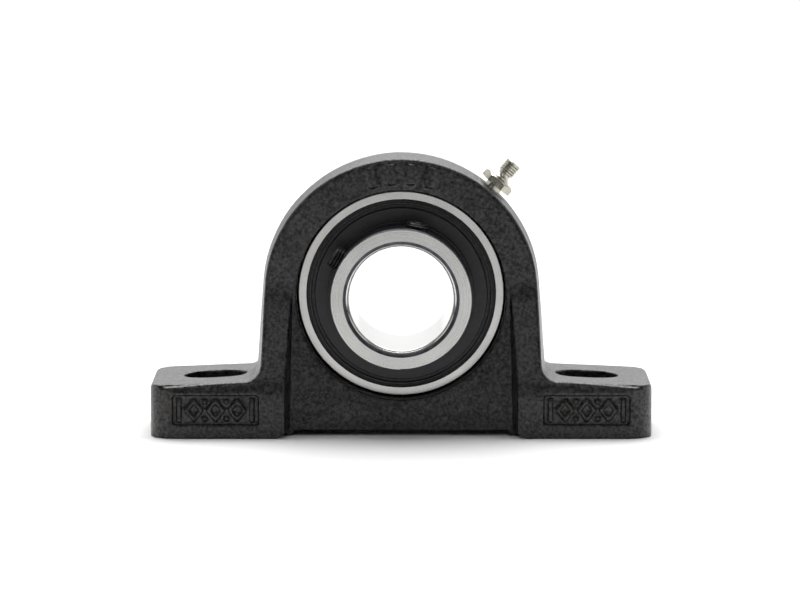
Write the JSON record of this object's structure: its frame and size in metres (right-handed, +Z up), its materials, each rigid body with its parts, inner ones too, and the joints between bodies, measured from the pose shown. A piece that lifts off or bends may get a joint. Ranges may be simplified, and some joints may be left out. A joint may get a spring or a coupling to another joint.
{
  "type": "pillow block ball bearing",
  "caption": "Foot-mounted cast pillow block holding a self-aligning, sealed insert ball bearing with an extended inner ring, set screws and a grease nipple.",
  "frame": {"origin": "on the base plane, straight below the centre of the bearing and midway between the two bolt slots", "axes": "+X from one bolt slot to the other, +Y along the shaft away from the set-screw end, +Z up from the base"},
  "size_m": [0.17, 0.0494, 0.0949],
  "materials": {
    "cast_paint": "matte charcoal paint over a sand-cast skin",
    "ground_steel": "ground bearing steel, turned lay",
    "pressed_steel": "plain pressed sheet steel",
    "seal_rubber": "moulded nitrile rubber",
    "flinger_black": "black coated steel, satin",
    "black_oxide": "black oxide steel, slightly oily",
    "zinc_plate": "bright zinc plate with a faint warm tint"
  },
  "bodies": {
    "housing": {"housing": "cast_paint", "nipple_body": "zinc_plate", "nipple_spring": "pressed_steel"},
    "check_ball": {"nipple_check_ball": "ground_steel"},
    "anti_rotation_pin": {"anti_rotation_pin": "ground_steel"},
    "outer_ring": {"outer_ring": "ground_steel", "seal_front": "seal_rubber", "seal_rear": "seal_rubber", "seal_core_front": "pressed_steel", "seal_core_rear": "pressed_steel"},
    "inner_ring": {"inner_ring": "ground_steel", "flinger_front": "flinger_black", "flinger_rear": "flinger_black"},
    "cage": {"cage_front": "pressed_steel", "cage_rear": "pressed_steel", "cage_rivets": "pressed_steel"},
    "ball_1": {"ball_1": "ground_steel"},
    "ball_2": {"ball_2": "ground_steel"},
    "ball_3": {"ball_3": "ground_steel"},
    "ball_4": {"ball_4": "ground_steel"},
    "ball_5": {"ball_5": "ground_steel"},
    "ball_6": {"ball_6": "ground_steel"},
    "ball_7": {"ball_7": "ground_steel"},
    "ball_8": {"ball_8": "ground_steel"},
    "ball_9": {"ball_9": "ground_steel"},
    "set_screw_1": {"set_screw_1": "black_oxide"},
    "set_screw_2": {"set_screw_2": "black_oxide"}
  },
  "joints": [
    {"name": "shaft_swing", "type": "hinge", "parent": "housing", "child": "anti_rotation_pin", "pos_m": [0, 0, 0.0476], "axis": [0, 0, 1], "range_deg": [-2.5, 2.5]},
    {"name": "shaft_nod", "type": "hinge", "parent": "anti_rotation_pin", "child": "outer_ring", "pos_m": [0, 0, 0.0476], "axis": [1, 0, 0], "range_deg": [-2.5, 2.5]},
    {"name": "shaft_spin", "type": "hinge", "parent": "outer_ring", "child": "inner_ring", "pos_m": [0, 0, 0.0476], "axis": [0, 1, 0], "continuous": true},
    {"name": "cage_orbit", "type": "hinge", "parent": "outer_ring", "child": "cage", "pos_m": [0, 0, 0.0476], "axis": [0, 1, 0], "continuous": true},
    {"name": "ball_1_roll", "type": "hinge", "parent": "cage", "child": "ball_1", "pos_m": [0.02675, 0, 0.0476], "axis": [0, 1, 0], "continuous": true},
    {"name": "ball_2_roll", "type": "hinge", "parent": "cage", "child": "ball_2", "pos_m": [0.02049, 0, 0.06479], "axis": [0, 1, 0], "continuous": true},
    {"name": "ball_3_roll", "type": "hinge", "parent": "cage", "child": "ball_3", "pos_m": [0.00465, 0, 0.07394], "axis": [0, 1, 0], "continuous": true},
    {"name": "ball_4_roll", "type": "hinge", "parent": "cage", "child": "ball_4", "pos_m": [-0.01337, 0, 0.07077], "axis": [0, 1, 0], "continuous": true},
    {"name": "ball_5_roll", "type": "hinge", "parent": "cage", "child": "ball_5", "pos_m": [-0.02514, 0, 0.05675], "axis": [0, 1, 0], "continuous": true},
    {"name": "ball_6_roll", "type": "hinge", "parent": "cage", "child": "ball_6", "pos_m": [-0.02514, 0, 0.03845], "axis": [0, 1, 0], "continuous": true},
    {"name": "ball_7_roll", "type": "hinge", "parent": "cage", "child": "ball_7", "pos_m": [-0.01337, 0, 0.02443], "axis": [0, 1, 0], "continuous": true},
    {"name": "ball_8_roll", "type": "hinge", "parent": "cage", "child": "ball_8", "pos_m": [0.00465, 0, 0.02126], "axis": [0, 1, 0], "continuous": true},
    {"name": "ball_9_roll", "type": "hinge", "parent": "cage", "child": "ball_9", "pos_m": [0.02049, 0, 0.03041], "axis": [0, 1, 0], "continuous": true},
    {"name": "set_screw_1_travel", "type": "slide", "parent": "inner_ring", "child": "set_screw_1", "axis": [0.2164, 0, 0.9763], "range_m": [-0.0015, 0.003]},
    {"name": "set_screw_2_travel", "type": "slide", "parent": "inner_ring", "child": "set_screw_2", "axis": [-0.848, 0, 0.5299], "range_m": [-0.0028, 0.0018]},
    {"name": "check_ball_lift", "type": "slide", "parent": "housing", "child": "check_ball", "axis": [-0.6613, 0, -0.7501], "range_m": [0, 0.0008], "stiffness_N_per_m": 400, "springref_m": -0.0008, "deforming": ["nipple_spring"]}
  ],
  "couplings": [
    {"joint": "cage_orbit", "follows": "shaft_spin", "ratio": 0.39615},
    {"joint": "ball_1_roll", "follows": "shaft_spin", "ratio": -2.3035},
    {"joint": "ball_2_roll", "follows": "shaft_spin", "ratio": -2.3035},
    {"joint": "ball_3_roll", "follows": "shaft_spin", "ratio": -2.3035},
    {"joint": "ball_4_roll", "follows": "shaft_spin", "ratio": -2.3035},
    {"joint": "ball_5_roll", "follows": "shaft_spin", "ratio": -2.3035},
    {"joint": "ball_6_roll", "follows": "shaft_spin", "ratio": -2.3035},
    {"joint": "ball_7_roll", "follows": "shaft_spin", "ratio": -2.3035},
    {"joint": "ball_8_roll", "follows": "shaft_spin", "ratio": -2.3035},
    {"joint": "ball_9_roll", "follows": "shaft_spin", "ratio": -2.3035}
  ]
}
